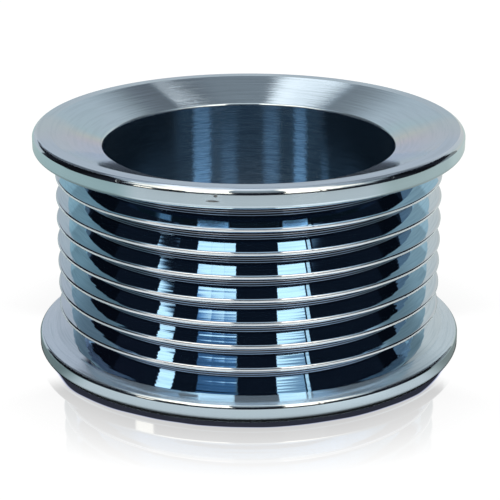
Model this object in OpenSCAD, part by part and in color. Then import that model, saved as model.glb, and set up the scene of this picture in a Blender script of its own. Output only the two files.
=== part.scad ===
// Ribbed belt pulley: one ring turned from steel, with a grooved track between two end flanges.
// The axis is +Z and the lower end face stands on z = 0. All sizes are in millimetres.

/* [Ribbed track] */
// Number of belt grooves
grooves = 8; // [3:1:12]
// Distance along the axis from one groove to the next
pitch = 3.56; // [3.2:0.02:4.8]
// Angle between the two flanks of a groove
groove_angle = 40; // [36:1:44]
// Diameter over the rib crests
rib_d = 60.4; // [40:0.2:120]
// Rounding of the rib crests
crest_r = 0.35; // [0.2:0.05:0.5]
// Rounding of the groove roots
root_r = 0.4; // [0.2:0.05:0.5]

/* [End flanges] */
// Height of the flanges above the rib crests
flange_h = 3.3; // [2:0.1:5]
// Width of each end, from the last half pitch of the track to the end face
end_w = 3.56; // [3:0.02:8]
// How far the outermost flanks run past the crests before the flange's own face begins
flank_rise = 0.7; // [0.3:0.05:1.2]
// Slope of the flange's belt-side face, from square to the axis
face_slope = 15; // [8:1:20]
// Rounding of the rim on the belt side
rim_belt_r = 0.6; // [0.2:0.05:0.8]
// Rounding of the rim at the end face
rim_end_r = 0.85; // [0.2:0.05:1]

/* [End faces] */
// Width of the flat outer land, from the rim inwards
land_w = 2.6; // [1.5:0.1:4]
// Depth of the dish, from the land to the bore
dish_depth = 2.8; // [1:0.1:5]

/* [Bore] */
// Wall left between the groove roots and the through bore
root_wall = 4; // [2:0.1:8]
// Rounding of the bore's two edges
bore_edge_r = 0.4; // [0.1:0.05:0.8]

/* [Hidden] */

// Largest turn between two points of a rounded corner, in degrees
arc_step = 15;
// Straight steps around the axis
turn_steps = 240;

flank_angle = groove_angle / 2;
rib_r = rib_d / 2;
flange_r = rib_r + flange_h;
land_r = flange_r - land_w;
width = grooves * pitch + 2 * end_w;

// Radii at which the flanks would meet if crests and roots were sharp
crest_tip_r = rib_r + crest_r * (1 / sin(flank_angle) - 1);
root_tip_r = crest_tip_r - pitch / 2 / tan(flank_angle);

// Radius at the bottom of the rounded roots, and of the bore inside it
root_bottom_r = root_tip_r + root_r * (1 / sin(flank_angle) - 1);
bore_r = root_bottom_r - root_wall;

// Where the outermost flank ends, and the rim's corner at the other end of the flange's face
face_r = rib_r + flank_rise;
face_z = groove_z(0) - (face_r - root_tip_r) * tan(flank_angle);
rim_w = face_z - (flange_r - face_r) * tan(face_slope);

// Height of the middle of a groove
function groove_z(i) = end_w + (i + 0.5) * pitch;

function unit(v) = v / norm(v);

function turned(v, angle) = [
    v.x * cos(angle) - v.y * sin(angle),
    v.x * sin(angle) + v.y * cos(angle)
];

// Points of the arc that rounds the corner q between its neighbours p and s
function rounded_corner(p, q, s, radius) =
    radius == 0 ? [q] :
    let (
        to_p = unit(p - q),
        to_s = unit(s - q),
        half_angle = acos(to_p * to_s) / 2,
        centre = q + unit(to_p + to_s) * radius / sin(half_angle),
        first = q + to_p * radius / tan(half_angle) - centre,
        last = q + to_s * radius / tan(half_angle) - centre,
        sweep = (180 - 2 * half_angle) * sign(cross(first, last)),
        steps = ceil(abs(sweep) / arc_step)
    )
    [for (k = [0:steps]) centre + turned(first, sweep * k / steps)];

// Outline in which each corner [radius from the axis, height, rounding] is replaced by its arc
function rounded_outline(corners) = [
    for (i = [0:len(corners) - 1])
        let (
            before = corners[(i + len(corners) - 1) % len(corners)],
            here = corners[i],
            after = corners[(i + 1) % len(corners)]
        )
        each rounded_corner(
            [before.x, before.y], [here.x, here.y], [after.x, after.y], here.z
        )
];

// The same corners at the other end, in reverse order
function other_end(corners) = [
    for (i = [len(corners) - 1:-1:0])
        [corners[i].x, width - corners[i].y, corners[i].z]
];

// From the bore across the dish, the land and the rim to the belt side of the flange
end_corners = [
    [bore_r, dish_depth, bore_edge_r],
    [land_r, 0, 0],
    [flange_r, 0, rim_end_r],
    [flange_r, rim_w, rim_belt_r],
    [face_r, face_z, 0]
];

// Groove roots with a rib crest between each pair
track_corners = [
    for (i = [0:grooves - 1]) each [
        [root_tip_r, groove_z(i), root_r],
        if (i < grooves - 1) [crest_tip_r, groove_z(i) + pitch / 2, crest_r]
    ]
];

module pulley() {
    color("lightsteelblue")
        rotate_extrude($fn = turn_steps)
            polygon(rounded_outline(concat(end_corners, track_corners, other_end(end_corners))));
}

pulley();
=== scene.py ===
import math
import bpy
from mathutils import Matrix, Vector


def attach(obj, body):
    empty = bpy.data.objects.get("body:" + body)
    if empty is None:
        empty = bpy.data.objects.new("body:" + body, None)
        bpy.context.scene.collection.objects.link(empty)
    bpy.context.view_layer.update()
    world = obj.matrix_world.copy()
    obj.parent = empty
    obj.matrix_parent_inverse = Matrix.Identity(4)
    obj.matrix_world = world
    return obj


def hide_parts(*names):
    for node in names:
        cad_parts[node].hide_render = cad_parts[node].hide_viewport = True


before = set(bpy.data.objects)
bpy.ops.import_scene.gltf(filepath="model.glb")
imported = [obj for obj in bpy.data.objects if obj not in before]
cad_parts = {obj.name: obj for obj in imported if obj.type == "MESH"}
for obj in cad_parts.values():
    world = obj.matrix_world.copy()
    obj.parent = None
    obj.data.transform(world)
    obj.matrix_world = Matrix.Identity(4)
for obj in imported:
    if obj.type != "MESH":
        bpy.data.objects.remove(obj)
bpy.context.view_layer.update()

mm = 0.001
white = (1, 1, 1)


# a socket in a node tree; sums and products of wires add Math nodes
class Wire:
    def __init__(self, tree, socket=None):
        self.tree, self.socket = tree, socket

    def node(self, kind, settings=None, sockets=None, out=0):
        made = self.tree.nodes.new(kind)
        for key, value in (settings or {}).items():
            if key == "stops":
                self.setStops(made.color_ramp.elements, value)
            else:
                setattr(made, key, value)
        for key, value in (sockets or {}).items():
            if isinstance(value, Wire):
                self.tree.links.new(value.socket, made.inputs[key])
            else:
                made.inputs[key].default_value = value
        return Wire(self.tree, made.outputs[out] if len(made.outputs) else None)

    def setStops(self, elements, stops):
        for spare in list(elements)[1:]:
            elements.remove(spare)
        elements[0].position, elements[0].color = stops[0][0], (*stops[0][1], 1)
        for place, colour in stops[1:]:
            elements.new(place).color = (*colour, 1)

    def out(self, name):  # another output of the same node
        return Wire(self.tree, self.socket.node.outputs[name])

    def math(self, operation, *terms):
        return self.node("ShaderNodeMath", {"operation": operation}, dict(enumerate(terms)))

    def __add__(self, other):
        return self.math("ADD", self, other)

    def __radd__(self, other):
        return self.math("ADD", other, self)

    def __sub__(self, other):
        return self.math("SUBTRACT", self, other)

    def __rsub__(self, other):
        return self.math("SUBTRACT", other, self)

    def __mul__(self, other):
        return self.math("MULTIPLY", self, other)

    def __rmul__(self, other):
        return self.math("MULTIPLY", other, self)

    def __truediv__(self, other):
        return self.math("DIVIDE", self, other)

    def __rtruediv__(self, other):
        return self.math("DIVIDE", other, self)

    def __pow__(self, other):
        return self.math("POWER", self, other)

    def __rpow__(self, other):
        return self.math("POWER", other, self)

    def __neg__(self):
        return self.math("MULTIPLY", self, -1)

    def __abs__(self):
        return self.math("ABSOLUTE", self)

    def atLeast(self, least):
        return self.math("MAXIMUM", self, least)

    def arctan2(self, other):
        return self.math("ARCTAN2", self, other)

    def above(self, edge, soft):  # 0 below the edge, 1 above it
        return self.node("ShaderNodeMapRange", {"interpolation_type": "SMOOTHSTEP"},
                         {"Value": self, "From Min": edge - soft, "From Max": edge + soft})

    def within(self, low, high, soft):
        return self.above(low, soft) * (1 - self.above(high, soft))

    def stepped(self, first, *steps):  # a level that changes by each (amount, edge, softness)
        level = first
        for amount, edge, soft in steps:
            level = level + amount * self.above(edge, soft)
        return level

    def noise(self, vector, scale, detail=2.0, roughness=0.5, w=None):
        settings = {"noise_dimensions": "4D" if w is not None else "3D"}
        sockets = {"Vector": vector, "Scale": scale, "Detail": detail, "Roughness": roughness}
        if w is not None:
            sockets["W"] = w
        return self.node("ShaderNodeTexNoise", settings, sockets)

    def blend(self, first, second):  # colours, this wire is the share of the second
        first, second = (side if isinstance(side, Wire) else (*side, 1) for side in (first, second))
        return self.node("ShaderNodeMix", {"data_type": "RGBA"}, {0: self, 6: first, 7: second}, out=2)

    def tinted(self, tone):  # a colour, this wire is its level
        return self.node("ShaderNodeVectorMath", {"operation": "SCALE"}, {0: tone, "Scale": self})


def newMaterial(name):
    material = bpy.data.materials.new(name)
    material.use_nodes = True
    material.node_tree.nodes.clear()
    return material, Wire(material.node_tree)


def meshObject(name, points, faces):
    mesh = bpy.data.meshes.new(name)
    mesh.from_pydata(points, [], faces)
    made = bpy.data.objects.new(name, mesh)
    bpy.context.scene.collection.objects.link(made)
    return made


# the turned section, in mm and degrees
ring = {
    "grooves": 8, "pitch": 3.56, "grooveAngle": 40, "ribRadius": 30.2, "crestRound": 0.35, "rootRound": 0.4,
    "flangeHeight": 3.3, "endWidth": 3.56, "flankRise": 0.7, "faceSlope": 15, "faceBreak": 0.5,
    "rimBeltRound": 0.6, "rimEndRound": 0.85, "rimFlat": 0.4, "landWidth": 2.6, "landBreak": 0.15,
    "dishDepth": 2.8, "rootWall": 4.0, "boreRound": 0.4,
    "arcStep": 12, "longestSpan": 2.4, "around": 288,
}
flank = math.radians(ring["grooveAngle"] / 2)
ribRadius = ring["ribRadius"]
flangeRadius = ribRadius + ring["flangeHeight"]
landRadius = flangeRadius - ring["landWidth"]
ringWidth = ring["grooves"] * ring["pitch"] + 2 * ring["endWidth"]
crestTip = ribRadius + ring["crestRound"] * (1 / math.sin(flank) - 1)
rootTip = crestTip - ring["pitch"] / 2 / math.tan(flank)
boreRadius = rootTip + ring["rootRound"] * (1 / math.sin(flank) - 1) - ring["rootWall"]


def grooveHeight(i):
    return ring["endWidth"] + (i + 0.5) * ring["pitch"]


# corners of the section as (radius, height, rounding), from the bore down and round the outside
def sectionCorners():
    faceRadius = ribRadius + ring["flankRise"]
    faceHeight = grooveHeight(0) - (faceRadius - rootTip) * math.tan(flank)
    rimHeight = faceHeight - (flangeRadius - faceRadius) * math.tan(math.radians(ring["faceSlope"]))
    end = [
        (boreRadius, ring["dishDepth"], ring["boreRound"]),
        (landRadius, 0, ring["landBreak"]),
        (flangeRadius, 0, ring["rimEndRound"]),
        (flangeRadius, rimHeight, ring["rimBeltRound"]),
        (faceRadius, faceHeight, ring["faceBreak"]),
    ]
    track = []
    for i in range(ring["grooves"]):
        track.append((rootTip, grooveHeight(i), ring["rootRound"]))
        if i < ring["grooves"] - 1:
            track.append((crestTip, grooveHeight(i) + ring["pitch"] / 2, ring["crestRound"]))
    return end + track + [(r, ringWidth - z, rounding) for r, z, rounding in reversed(end)]


def turned(spoke, angle):
    return Vector((spoke.x * math.cos(angle) - spoke.y * math.sin(angle),
                   spoke.x * math.sin(angle) + spoke.y * math.cos(angle)))


# every corner becomes an arc, with the true normal at each of its points
def sectionOutline(corners):
    outline = []
    for i, (r, z, rounding) in enumerate(corners):
        here = Vector((r, z))
        back = (Vector(corners[i - 1][:2]) - here).normalized()
        ahead = (Vector(corners[(i + 1) % len(corners)][:2]) - here).normalized()
        half = math.acos(max(-1, min(1, back.dot(ahead)))) / 2
        centre = here + (back + ahead).normalized() * (rounding / math.sin(half))
        start = here + back * (rounding / math.tan(half)) - centre
        last = here + ahead * (rounding / math.tan(half)) - centre
        turn = (math.pi - 2 * half) * (1 if start.cross(last) > 0 else -1)
        steps = max(2, math.ceil(abs(math.degrees(turn)) / ring["arcStep"]))
        flat = ring["rimFlat"] if r == flangeRadius else 0  # the rims' corners are flatter than an arc
        chord = (start + last).normalized() * flat * (last - start).length / (rounding * abs(turn))
        for k in range(steps + 1):
            spoke = turned(start, turn * k / steps)
            normal = spoke.normalized() * (1 if turn > 0 else -1)
            if 0 < k < steps:
                normal = (normal * (1 - flat) + chord).normalized()
            outline.append((centre + spoke.lerp(start.lerp(last, k / steps), flat), normal))
    return outline


# long straight stretches get rows of their own
def withRows(outline):
    rows = []
    for i, (place, normal) in enumerate(outline):
        nextPlace, nextNormal = outline[(i + 1) % len(outline)]
        count = max(1, math.ceil((nextPlace - place).length / ring["longestSpan"]))
        for k in range(count):
            share = k / count
            rows.append((place.lerp(nextPlace, share), normal.lerp(nextNormal, share).normalized()))
    return rows


def turnedRing(name, rows):
    points, normals, faces = [], [], []
    around, count = ring["around"], len(rows)
    for j in range(around):
        a = 2 * math.pi * j / around
        for place, normal in rows:
            points.append((place.x * math.cos(a) * mm, place.x * math.sin(a) * mm, place.y * mm))
            normals.append((normal.x * math.cos(a), normal.x * math.sin(a), normal.y))
        k = (j + 1) % around
        for i in range(count):
            n = (i + 1) % count
            faces.append((j * count + i, k * count + i, k * count + n, j * count + n))
    made = meshObject(name, points, faces)
    unroll(made.data, rows)
    made.data.polygons.foreach_set("use_smooth", [True] * len(faces))
    made.data.normals_split_custom_set_from_vertices(normals)
    return made


# u runs round the axis and v along the section
def unroll(mesh, rows):
    around, count = ring["around"], len(rows)
    lengths = [0.0]
    for i in range(count):
        lengths.append(lengths[-1] + (rows[(i + 1) % count][0] - rows[i][0]).length)
    places = []
    for j in range(around):
        for i in range(count):
            for u, v in ((j, i), (j + 1, i), (j + 1, i + 1), (j, i + 1)):
                places += [u / around, lengths[v] / lengths[-1]]
    mesh.uv_layers.new(name="turned").uv.foreach_set("vector", places)


pulley = turnedRing("turnedRing", withRows(sectionOutline(sectionCorners())))
print("ring:", len(pulley.data.vertices), "points,", 2 * len(pulley.data.polygons), "triangles")


zincPlate = {
    "flankTint": (0.62, 0.785, 0.92), "lowTint": (0.66, 0.75, 0.93), "flankDark": (0.42, 0.57, 0.70),
    # the root tint is painted shade in the groove roots
    "crestTint": (0.68, 0.79, 0.90), "wornTint": (0.88, 0.945, 0.985), "rootShadeTint": (0.42, 0.47, 0.55),
    "rimTint": (0.655, 0.80, 0.885), "faceTint": (0.61, 0.775, 0.905), "faceDark": (0.42, 0.54, 0.64),
    "boreTint": (0.52, 0.68, 0.84), "boreDark": (0.32, 0.45, 0.60), "nickTint": (0.1, 0.1, 0.1),
    "flankRoughness": 0.023, "flangeRoughness": 0.075, "rimRoughness": 0.09, "faceRoughness": 0.07,
    "boreRoughness": 0.13, "nickRoughness": 0.3, "stretch": 1.0,
    # how far each finish reaches from the section's own edges, in mm
    "faceEdge": 0.4, "boreBand": 0.15, "rimBand": 0.25, "flangeFoot": 0.8, "edgeSoft": 0.1,
    "crestBand": 0.3, "crestSoft": 0.15, "wornBand": 0.035, "wornSoft": 0.02,
    # depths, radii and heights where other finishes begin or end, in mm, with the softness last
    "faceSkin": (0.22, 0.05), "ribsFrom": (5.2, 0.3), "rootShadeBand": (26.0, 27.15, 0.2), "dullBelow": (18, 2),
    "violetBelow": (13, 6), "violetShare": 0.6,
    "violetSide": (-0.6, 0.2),  # across the ring, where -1 is its left edge
    # turning marks: noise scale across them per mm, scale round the axis, detail
    "fine": (10.0, 2.0, 0.0), "wide": (2.2, 1.5, 0.0), "hairs": (2.2, 3.0, 1.0), "broad": (0.9, 1.0, 1.0),
    "flankLines": (4.0, 3.0, 2.0), "boreLines": (6.0, 9.0, 2.0), "scores": (3.0, 22.0, 1.0),
    # how strongly dark lines show: share, threshold, softness
    "flankStain": (0.36, 0.55, 0.1), "faceStain": (0.2, 0.55, 0.12), "boreStain": (0.7, 0.52, 0.12),
    "unevenness": (0.8, 0.4),  # least share of the roughness, and what the broad marks add
    # heights of the marks in mm, and how high up the flanks they go, with the softness last
    "flankMarks": 0.0026, "lowMarks": 0.0085, "faceMarks": 0.004, "faceHairs": 0.012,
    "boreMarks": 0.003, "boreScores": 0.012, "nickDepth": 0.02,
    "flankMarksTop": (27, 2), "lowMarksTop": (15, 9),
    # faint interference colours of the plating on the end faces, from the front to the back
    "film": [(0.0, (0.62, 0.72, 0.96)), (0.36, (0.64, 0.71, 0.96)), (0.44, (0.78, 0.74, 0.84)),
             (0.50, (0.77, 0.81, 0.76)), (0.57, (0.57, 0.80, 0.88)), (0.66, (0.61, 0.775, 0.905))],
    "filmScale": 60.0, "filmDetail": 1.5, "filmWander": 0.35,
    "filmShare": (0.75, (-0.45, 28, 3)),  # near the bore, then the change past a radius and its softness
    "faceHaze": 0.15, "flangeHaze": 0.2, "wornHaze": 0.45,
    # dents on the rims: angle in degrees, height, half length round the rim, half height
    "nicks": [(-7.8, 34.62, 0.28, 0.2), (-8.5, 33.85, 0.95, 0.14), (-33.2, 35.1, 0.5, 0.2),
              (37.6, 35.15, 0.3, 0.15), (128, 33.8, 0.5, 0.15), (-150, 34.3, 0.35, 0.25),
              (96, 1.4, 0.4, 0.2), (-118, 1.1, 0.6, 0.15)],
    "nickShare": 0.75, "nickEdge": (0.8, 0.5),
}


def zincPlateMaterial():
    material, wire = newMaterial("zincPlate")
    place = wire.node("ShaderNodeTexCoord", out="Object")
    axes = wire.node("ShaderNodeSeparateXYZ", None, {"Vector": place})
    x, y, z = (axes.out(name) / mm for name in "XYZ")
    r = (x * x + y * y) ** 0.5
    across, along = x / r, y / r

    inward = ringWidth / 2 - abs(z - ringWidth / 2)  # distance in from the nearer end
    dish = ring["dishDepth"] / (landRadius - boreRadius) * (landRadius - r).atLeast(0)
    soft = zincPlate["edgeSoft"]
    face = 1 - (inward - dish).above(*zincPlate["faceSkin"])
    face = face * (1 - r.above(flangeRadius - zincPlate["faceEdge"], soft))
    bore = (1 - r.above(boreRadius + zincPlate["boreBand"], soft)) * (1 - face)
    rimInside = flangeRadius - zincPlate["rimBand"]
    rim = r.above(rimInside, soft) * (1 - face)
    flange = r.within(ribRadius + zincPlate["flangeFoot"], rimInside, soft) * (1 - face)
    flange = flange * (1 - z.above(*zincPlate["dullBelow"]))  # the lower flange's face is duller
    ribs = inward.above(*zincPlate["ribsFrom"])
    ribTop = ribRadius + zincPlate["crestBand"]
    crest = r.within(ribRadius - zincPlate["crestBand"], ribTop, zincPlate["crestSoft"]) * ribs
    worn = r.within(ribRadius - zincPlate["wornBand"], ribTop, zincPlate["wornSoft"]) * ribs
    # the groove roots, where painted shade goes
    root = r.within(*zincPlate["rootShadeBand"])
    track = (1 - rim) * (1 - face)

    # turning marks run round the axis and fade in and out along their length
    def marks(key):
        scale, length, detail = zincPlate[key]
        vector = wire.node("ShaderNodeCombineXYZ", None, {
            "X": r * scale, "Y": z * scale, "Z": across * length})
        return wire.noise(vector, 1.0, detail, roughness=0.6, w=along * length)

    def stain(pattern, key):
        share, *edge = zincPlate[key]
        return share * pattern.above(*edge)

    hairs = marks("hairs")
    angle = x.arctan2(-y)
    nick = 0.0
    for degrees, height, halfLength, halfHeight in zincPlate["nicks"]:
        u = (angle - math.radians(degrees)) * (flangeRadius / halfLength)
        v = (z - height) / halfHeight
        nick = nick + (1 - (u * u + v * v).above(*zincPlate["nickEdge"])) * rim

    cloud = wire.noise(place, zincPlate["filmScale"], zincPlate["filmDetail"]) - 0.5
    film = wire.node("ShaderNodeValToRGB", {"stops": zincPlate["film"]}, {
        "Fac": 0.5 + 0.5 * along + zincPlate["filmWander"] * cloud})
    violet = (1 - z.above(*zincPlate["violetBelow"])) * (1 - across.above(*zincPlate["violetSide"]))
    colour = zincPlate["flankTint"]
    for share, tint in (
        (rim, zincPlate["rimTint"]),
        (zincPlate["violetShare"] * violet * (1 - rim), zincPlate["lowTint"]),
        (crest, zincPlate["crestTint"]),
        (worn, zincPlate["wornTint"]),
        # painted shade darkens the groove roots
        (root, zincPlate["rootShadeTint"]),
        (track * stain(marks("flankLines"), "flankStain"), zincPlate["flankDark"]),
        (face, zincPlate["faceTint"]),
        (face * r.stepped(*zincPlate["filmShare"]), film),
        (face * stain(hairs, "faceStain"), zincPlate["faceDark"]),
        (bore, zincPlate["boreTint"]),
        (bore * stain(marks("boreLines"), "boreStain"), zincPlate["boreDark"]),
        (nick * zincPlate["nickShare"], zincPlate["nickTint"]),
    ):
        colour = share.blend(colour, tint)

    roughness = zincPlate["flankRoughness"]
    for zone, key in ((flange, "flangeRoughness"), (rim, "rimRoughness"), (face, "faceRoughness"),
                      (bore, "boreRoughness")):
        roughness = roughness + zone * (zincPlate[key] - zincPlate["flankRoughness"])
    least, added = zincPlate["unevenness"]
    roughness = roughness * (least + added * marks("broad")) + nick * zincPlate["nickRoughness"]

    # the lower grooves are marked more deeply, the one under the upper flange hardly at all
    depth = zincPlate["flankMarks"] * (1 - z.above(*zincPlate["flankMarksTop"]))
    depth = depth + zincPlate["lowMarks"] * (1 - z.above(*zincPlate["lowMarksTop"]))
    height = marks("wide") * depth * track * (1 - bore)
    height = height + marks("fine") * (face * zincPlate["faceMarks"] + bore * zincPlate["boreMarks"])
    height = height + hairs * face * zincPlate["faceHairs"] + marks("scores") * bore * zincPlate["boreScores"]
    height = height - nick * zincPlate["nickDepth"]
    bump = wire.node("ShaderNodeBump", None, {"Strength": 1.0, "Distance": mm, "Height": height})

    haze = face * zincPlate["faceHaze"] + flange * zincPlate["flangeHaze"] + worn * zincPlate["wornHaze"]
    shader = wire.node("ShaderNodeBsdfPrincipled", None, {
        "Base Color": colour, "Metallic": 1 - haze, "Roughness": roughness, "Normal": bump,
        "Anisotropic": zincPlate["stretch"], "Anisotropic Rotation": 0.25,
    })
    wire.node("ShaderNodeOutputMaterial", None, {"Surface": shader})
    return material


pulley.data.materials.append(zincPlateMaterial())
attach(pulley, "root")
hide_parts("pulley")
print("zinc plate on the ring")


# radius in mm, azimuth in degrees (0 towards the camera, + to its right) and height in mm
def stagePolar(wire):
    place = wire.node("ShaderNodeTexCoord", out="Object")
    axes = wire.node("ShaderNodeSeparateXYZ", None, {"Vector": place})
    x, y, z = (axes.out(name) / mm for name in "XYZ")
    return (x * x + y * y) ** 0.5, x.arctan2(-y) * math.degrees(1), z


def lay(under, level, mask):  # a new level over the one under it, where the mask is 1
    return under + mask * (level - under)


def flatSheet(name, half, height):
    corners = [(-half, -half, height), (half, -half, height), (half, half, height), (-half, half, height)]
    return meshObject(name, corners, [(0, 1, 2, 3)])


def glowing(light, paint=(0, 0, 0, 1)):  # matt paint that gives off light of its own
    return light.node("ShaderNodeBsdfPrincipled", None, {
        "Base Color": paint, "Roughness": 1.0, "Specular IOR Level": 0.0,
        "Emission Color": light, "Emission Strength": 1.0})


def frontOnly(shader):  # a card that is clear from behind
    return shader.node("ShaderNodeMixShader", None, {
        0: shader.node("ShaderNodeNewGeometry", out="Backfacing"), 1: shader,
        2: shader.node("ShaderNodeBsdfTransparent")})


def dressStage(made, material, shader):
    shader.node("ShaderNodeOutputMaterial", None, {"Surface": shader})
    material.cycles.emission_sampling = "NONE"
    made.data.materials.append(material)


def onlyInReflections(made):  # neither the camera nor matt paint sees these
    made.visible_camera = made.visible_diffuse = made.visible_shadow = False
    made.visible_transmission = made.visible_volume_scatter = False


# a white floor that mirrors the ring faintly close to it, with a painted contact shadow round the ring's foot
# and painted shade inside the ring; half and height in metres, radii in mm
floorLook = {
    "half": 3.0, "height": -0.0002, "paint": 0.06, "own": 0.98, "gloss": 0.42, "glossReach": 17,
    # a painted contact shadow at the ring's foot, and painted shade inside the ring:
    "contactShadowRadius": 32.7, "contactShadowSoft": 0.2, "contactShadowFront": 1.15, "frontTo": (58, 10),
    "contactShadowRagged": 0.6, "raggedScale": 120.0, "contactShadowLevel": 0.022, "contactShadowTone": (1.1, 1.25, 1.9),
    "inside": (30.5, 0.4), "shade": 0.42,
    "noGloss": (58, 105, 6),  # azimuths to each side where the floor mirrors nothing, and softness
}


def whiteFloor():
    floor = flatSheet("floor", floorLook["half"], floorLook["height"])
    material, wire = newMaterial("floorWhite")
    r, azimuth = stagePolar(wire)[:2]
    aside = abs(azimuth)
    # painted contact shadow where the ring meets the floor, a little ragged and wider towards the front
    place = wire.node("ShaderNodeTexCoord", out="Object")
    ragged = floorLook["contactShadowRagged"] * (wire.noise(place, floorLook["raggedScale"], detail=1.0) - 0.5)
    front = 1 - aside.above(*floorLook["frontTo"])
    edge = floorLook["contactShadowRadius"] + floorLook["contactShadowFront"] * front + ragged
    clear = (r - edge).above(0, floorLook["contactShadowSoft"])
    # inside the ring the floor is painted grey: painted shade under the ring
    inside = 1 - r.above(*floorLook["inside"])
    level = lay(floorLook["contactShadowLevel"], 1.0, clear) + inside * floorLook["shade"]
    tone = (clear + inside).blend(floorLook["contactShadowTone"], white)
    paint = (level * floorLook["paint"]).tinted(white)
    light = (level * floorLook["own"]).tinted(tone)
    near = (1 - (r - flangeRadius) / floorLook["glossReach"]).atLeast(0) * clear
    near = near * (1 - aside.within(*floorLook["noGloss"]))
    mirror = wire.node("ShaderNodeBsdfGlossy", None, {"Roughness": 0.0})
    dressStage(floor, material, wire.node("ShaderNodeMixShader", None, {
        0: near * floorLook["gloss"], 1: glowing(light, paint), 2: mirror}))


# the grey table that the rims and grooves mirror, glowing with painted light and shade: the ring's painted
# shadow to the sides and round its foot, and patches of painted light; half and height in metres, radii in mm
tableSheet = {
    "half": 1.4, "height": -0.00003, "grey": 0.66, "bright": 0.12, "brightBand": (42, 92, 6),
    # levels to the sides, a painted shadow that is darkest at the ring: at the ring, then each change past a
    # radius with its softness
    "left": (0.22, (0.15, 54, 18), (0.16, 118, 10)), "leftOf": (-58, 8),
    "right": (0.27, (0.18, 51, 14), (0.1, 118, 10)), "rightOf": (64, 8),
    "behind": (0.0, (0.1, 118, 10)), "behindFrom": (118, 6),
    # paler and darker patches of painted light and shade: azimuth from, to, softness, radius from, to,
    # softness, slant in mm per degree, level; -200 and 9999 set no limit
    "patches": [
        (-45, -14, 3, 58, 100, 6, 0, 0.85),
        (20, 45, 3, 40, 100, 6, 0, 1.05),
        (-56, 100, 8, 165, 9999, 25, 0, 0.015),
        (-104, -56, 6, 165, 9999, 25, 0, 0.02),
        (-57, -49, 1, 165, 9999, 25, 0, 0.35),
        (-200, -104, 6, 165, 9999, 25, 0, 0.58),
        (20.5, 36, 0.5, 175, 213, 0.8, 2, 2.6),
        (-31, -12, 0.5, 183.49, 220.49, 0.8, -1.7, 2.0),
    ],
    # a painted contact shadow round the ring's foot, wider towards the front, and painted shade under the
    # ring
    "foot": 0.02, "contactShadowRadius": 34.05, "contactShadowSoft": 0.15, "contactShadowFront": 1.65, "frontTo": (50, 30),
    "inside": 0.22, "insideTo": (24, 1), "farFrom": (165, 25), "farFront": (-40, 45, 3),
    "leftTone": (0.83, 1.0, 0.97), "rightTone": (0.92, 1.0, 0.94), "farTone": (1.12, 1.0, 0.92),
}


def greyTable():
    sheet = flatSheet("tableSheet", tableSheet["half"], tableSheet["height"])
    onlyInReflections(sheet)
    material, wire = newMaterial("tablePaintedLightAndShade")
    r, azimuth = stagePolar(wire)[:2]
    left, right = 1 - azimuth.above(*tableSheet["leftOf"]), azimuth.above(*tableSheet["rightOf"])
    behind = r.stepped(*tableSheet["behind"]) * azimuth.above(*tableSheet["behindFrom"])
    level = tableSheet["grey"] + tableSheet["bright"] * r.within(*tableSheet["brightBand"])
    # darker near the ring to the sides: the ring's painted shadow
    level = lay(level, r.stepped(*tableSheet["left"]), left)
    level = lay(level, r.stepped(*tableSheet["right"]) + behind, right)
    for azFrom, azTo, azSoft, rFrom, rTo, rSoft, slant, shine in tableSheet["patches"]:
        reach = (r - slant * azimuth).within(rFrom, rTo, rSoft)
        level = lay(level, shine, azimuth.within(azFrom, azTo, azSoft) * reach)
    # painted contact shadow at the ring's foot, then painted shade under the ring
    front = 1 - abs(azimuth).above(*tableSheet["frontTo"])
    contactShadowEdge = tableSheet["contactShadowRadius"] + tableSheet["contactShadowFront"] * front
    level = level * lay(tableSheet["foot"], 1.0, (r - contactShadowEdge).above(0, tableSheet["contactShadowSoft"]))
    level = lay(level, tableSheet["inside"], 1 - r.above(*tableSheet["insideTo"]))
    far = r.above(*tableSheet["farFrom"]) * azimuth.within(*tableSheet["farFront"])
    tone = white
    for share, key in ((left, "leftTone"), (right, "rightTone"), (far, "farTone")):
        tone = share.blend(tone, tableSheet[key])
    dressStage(sheet, material, frontOnly(glowing(level.tinted(tone))))


# a glowing card that only the bore mirrors, a painted reflection: dark blue painted shade with paler upright
# stripes, painted reflections of the windows; sizes in mm
paintedBoreCard = {
    "radius": 22.3, "low": 0.2, "high": 31.0, "columns": 96,
    "base": 0.05, "side": 0.012, "sideFrom": (92, 10), "sideShare": (0.4, (0.6, 15, 3)),
    "ragged": 6, "raggedScale": (0.05, 2.6), "tone": (0.60, 1.0, 1.40),
    # azimuth from, to, level, softness, top
    "topSoft": 6, "stripes": [
        (30, 50, 0.075, 4, 24), (48, 69, 0.22, 3, 24), (48, 69, 0.46, 3, 8), (15, 33, 0.16, 5, 14),
        (-37, -19, 0.17, 5, 20), (-72, -57, 0.24, 2, 22), (-72, -57, 0.44, 2, 7), (-104, -94, 0.15, 2, 11),
        (140, 166, 0.12, 5, 8), (-166, -140, 0.12, 5, 8),
    ],
}


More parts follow.
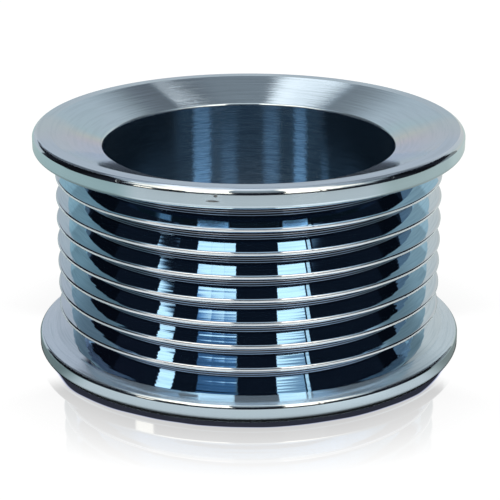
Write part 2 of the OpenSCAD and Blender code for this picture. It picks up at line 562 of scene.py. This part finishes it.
def paintedBoreReflection():
    columns, radius = paintedBoreCard["columns"], paintedBoreCard["radius"] * mm
    points, faces = [], []
    for j in range(columns):
        a = 2 * math.pi * j / columns
        for height in (paintedBoreCard["low"], paintedBoreCard["high"]):
            points.append((radius * math.sin(a), -radius * math.cos(a), height * mm))
        k = (j + 1) % columns
        faces.append((2 * j, 2 * j + 1, 2 * k + 1, 2 * k))
    card = meshObject("paintedBoreReflection", points, faces)
    onlyInReflections(card)
    material, wire = newMaterial("boreReflectionPaint")
    azimuth, z = stagePolar(wire)[1:]
    perDegree, perHeight = paintedBoreCard["raggedScale"]
    grain = wire.node("ShaderNodeCombineXYZ", None, {"X": azimuth * perDegree, "Z": z * perHeight})
    azimuth = azimuth + paintedBoreCard["ragged"] * (wire.noise(grain, 1.0, roughness=0.6) - 0.5)
    side = abs(azimuth).above(*paintedBoreCard["sideFrom"]) * z.stepped(*paintedBoreCard["sideShare"])
    # stripes of painted reflection over a dark painted shade
    level = lay(paintedBoreCard["base"], paintedBoreCard["side"], side)
    for left, right, shine, soft, top in paintedBoreCard["stripes"]:
        below = 1 - z.above(top, paintedBoreCard["topSoft"])
        level = lay(level, shine, azimuth.within(left, right, soft) * below)
    dressStage(card, material, frontOnly(glowing(level.tinted(paintedBoreCard["tone"]))))


# what the metal mirrors above the table: dark cloth with windows in it, pale at the back
# the radius is in metres, azimuths and elevations are in degrees
tent = {
    "radius": 1.3, "lowest": -2, "rows": 24, "columns": 96, "dark": 0.014,
    # the back's level at its foot, then each change past an elevation with its softness
    "back": (0.49, (-0.36, 39, 6), (0.33, 58, 5)), "backLeft": (-155, 1), "backRight": (134, 2),
    # stretches of wall: azimuth from, to, softness, elevation from, to, softness, level;
    # -9 and 99 set no limit
    "overhead": (90, 136, 3, 57, 99, 4, 0.33),
    "walls": [
        (-168, -152, 1.5, -9, 30, 4, 0.53),
        (-156, -147.5, 1, 20, 37, 2, 0.5),
        (134, 167, 2, -9, 31, 4, 0.68),
        (-157, -132, 1.5, -9, 14, 2, 0.58),
        (-132, -124, 1, -9, 5, 1, 0.19),
        (58, 91, 2, -9, 14.5, 1, 0.03),
        (-84, -58, 2, -9, 13, 1, 0.03),
    ],
    # windows: azimuth from, to, elevation from, to, level, softness of the lower and upper edge,
    # lean of the left and the right side per degree above leanFrom
    "windows": [
        (-158, -93, 51, 70, 0.36, 3.0, 0, 0),
        (90, 136, 48, 60, 0.2, 2.0, 0, 0),
        (-121, -95, -3, 50, 0.006, 1.0, 0, 0),
        (95, 112, -3, 45, 0.006, 1.0, 0, 0),
        (-76, -36, 41, 82, 0.5, 1.5, 0, 0),
        (-76, -49, 36, 50, 0.45, 1.0, 0, 0),
        (-95, -36, 51, 86, 0.9, 4.0, 0, 0),
        (-78, -58, 43, 82, 1.3, 2.0, 0, 0),
        (-58, -35.6, 42.5, 82, 2.0, 1.5, 0, 0),
        (-150, -36, 65, 80, 1.4, 3.0, 0, 0),
        (-62.8, -52.0, 24, 31.2, 2.0, 1.2, 0, 0),
        (-35.6, -9.2, 31.5, 60, 0.2, 0.8, 0, -0.3),
        (-35.6, -26.0, 36.0, 82, 2.0, 1.1, 0, 0),
        (-26.0, -17.0, 36.8, 82, 2.0, 1.1, 0, 0),
        (-17.0, -9.2, 37.5, 82, 2.0, 1.1, 0, -0.3),
        (-35.6, -9.2, 42.5, 47, 1.2, 0.7, 0, -0.3),
        (20.9, 41.0, 30.5, 60, 0.6, 0.8, 0.3, 0.3),
        (20.9, 41.0, 34.4, 82, 2.1, 1.0, 0.3, 0.3),
        (42.2, 44.5, 30, 82, 1.5, 3.0, 0.3, 0.3),
        (46, 77, 36.5, 82, 0.55, 1.5, 0.3, 0),
        (57, 88, 45, 82, 1.3, 2.0, 0.2, 0),
        (44.5, 57, 43, 82, 2.0, 1.5, 0.3, 0.2),
        (77, 92, 43, 82, 0.4, 5.0, 0, 0),
        (-9.2, 20.9, 50, 82, 0.3, 2.0, -0.3, 0.3),
        (165, 174.5, 42, 55, 0.04, 3.0, 0, 0),
        (-176.4, -173.2, 42, 60, 1.3, 1.0, 0, 0),
        (-173.2, -169.8, 45.5, 60, 1.1, 1.0, 0, 0),
        (170.2, 171.2, 46.8, 60, 1.7, 0.8, 0, 0),
    ],
    "leanFrom": 40, "sideSoft": 0.25,
    # a wall whose top climbs to the right: azimuths, top at its left end, rise per degree, level
    "slopeAcross": (109.5, 135, 0.5), "slopeTop": (8.4, 0.4), "slopeRise": 0.4, "slopeLevel": 0.26,
    "zenithFrom": (74, 5), "zenithLevel": 1.0,
    # levels, azimuths and elevations where the tones change, with the softness last
    "greyFrom": (0.1, 0.08), "brightFrom": (0.9, 0.6), "backToneFrom": (90, 20),
    "blueAcross": (-36, -9, 1), "blueUp": (30, 38, 1), "warmAcross": (128, 168, 4),
    "darkTone": (1.0, 1.0, 1.3), "blueTone": (0.65, 1.0, 1.4), "greyTone": (0.97, 1.0, 1.02),
    "frontTone": (1.24, 1.0, 0.8), "backTone": (1.1, 1.0, 0.94), "warmTone": (1, 0.95, 0.88),
}


def tentDome(name):
    rows, columns, radius = tent["rows"], tent["columns"], tent["radius"]
    points, faces = [], []
    for i in range(rows + 1):
        e = math.radians(tent["lowest"] + (90 - tent["lowest"]) * i / rows)
        for j in range(columns):
            a = 2 * math.pi * j / columns
            out = radius * math.cos(e)
            points.append((out * math.sin(a), -out * math.cos(a), radius * math.sin(e)))
    for i in range(rows):
        for j in range(columns):
            k = (j + 1) % columns
            faces.append((i * columns + j, i * columns + k, (i + 1) * columns + k, (i + 1) * columns + j))
    return meshObject(name, points, faces)


def tentLevel(azimuth, elevation):
    def wall(under, azFrom, azTo, azSoft, elFrom, elTo, elSoft, shine):
        rows = elevation.within(elFrom, elTo, elSoft)
        return lay(under, shine, azimuth.within(azFrom, azTo, azSoft) * rows)

    level = wall(tent["dark"], *tent["overhead"])
    back = 1 - azimuth.above(*tent["backLeft"]) + azimuth.above(*tent["backRight"])
    level = lay(level, elevation.stepped(*tent["back"]), back)
    for stretch in tent["walls"]:
        level = wall(level, *stretch)
    rise = elevation - tent["leanFrom"]
    for left, right, bottom, top, shine, soft, leanLeft, leanRight in tent["windows"]:
        side = (azimuth - rise * leanLeft).above(left, tent["sideSoft"])
        side = side * (1 - (azimuth - rise * leanRight).above(right, tent["sideSoft"]))
        level = lay(level, shine, side * elevation.within(bottom, top, soft))
    climb = tent["slopeRise"] * (azimuth - tent["slopeAcross"][0])
    below = 1 - (elevation - climb).above(*tent["slopeTop"])
    level = lay(level, tent["slopeLevel"], azimuth.within(*tent["slopeAcross"]) * below)
    return lay(level, tent["zenithLevel"], elevation.above(*tent["zenithFrom"]))


def tentTone(azimuth, elevation, level):
    bright = level.above(*tent["brightFrom"])
    cloth = level.above(*tent["greyFrom"]).blend(tent["darkTone"], tent["greyTone"])
    window = abs(azimuth).above(*tent["backToneFrom"]).blend(tent["frontTone"], tent["backTone"])
    blue = azimuth.within(*tent["blueAcross"]) * elevation.within(*tent["blueUp"]) * (1 - bright)
    tone = blue.blend(bright.blend(cloth, window), tent["blueTone"])
    warm = azimuth.within(*tent["warmAcross"]).blend(white, tent["warmTone"])
    return level.node("ShaderNodeVectorMath", {"operation": "MULTIPLY"}, {0: tone, 1: warm})


def studioTent():
    dome = tentDome("studioTent")
    onlyInReflections(dome)
    material, wire = newMaterial("tentCloth")
    r, azimuth, z = stagePolar(wire)
    elevation = z.arctan2(r) * math.degrees(1)
    level = tentLevel(azimuth, elevation)
    tone = tentTone(azimuth, elevation, level)
    # the floor mirrors the ring against white
    fromFloor = wire.node("ShaderNodeLightPath", out="Is Singular Ray")
    light = lay(level, 1.0, fromFloor).tinted(fromFloor.blend(tone, white))
    dressStage(dome, material, glowing(light))


whiteFloor()
greyTable()
paintedBoreReflection()
studioTent()
print("floor, table and tent")


def studioWorld():
    world = bpy.data.worlds.new("softWhite")
    bpy.context.scene.world = world
    world.use_nodes = True
    world.node_tree.nodes.clear()
    wire = Wire(world.node_tree)
    sky = wire.node("ShaderNodeBackground", None, {"Color": (*white, 1), "Strength": 1.0})
    wire.node("ShaderNodeOutputWorld", None, {"Surface": sky})


# where the camera stands, in mm, its pitch down in radians, its lens and sensor in mm
cameraPlace = {
    "side": 0.2, "away": 260.047, "up": 107.987, "pitch": 0.344, "lens": 124.747, "sensor": 36,
    "nearest": 0.01, "farthest": 20,  # what it sees, in metres
}


def photoCamera():
    data = bpy.data.cameras.new("photoCamera")
    data.sensor_width, data.lens = cameraPlace["sensor"], cameraPlace["lens"]
    data.clip_start, data.clip_end = cameraPlace["nearest"], cameraPlace["farthest"]
    camera = bpy.data.objects.new("photoCamera", data)
    bpy.context.scene.collection.objects.link(camera)
    camera.location = (cameraPlace["side"] * mm, -cameraPlace["away"] * mm, cameraPlace["up"] * mm)
    camera.rotation_euler = (math.pi / 2 - cameraPlace["pitch"], 0, 0)
    bpy.context.scene.camera = camera


studioWorld()
photoCamera()
scene = bpy.context.scene
scene.view_settings.view_transform = "Standard"
scene.cycles.max_bounces = 16
scene.cycles.glossy_bounces = 12  # light bounces several times between a groove's flanks
print("camera and world")
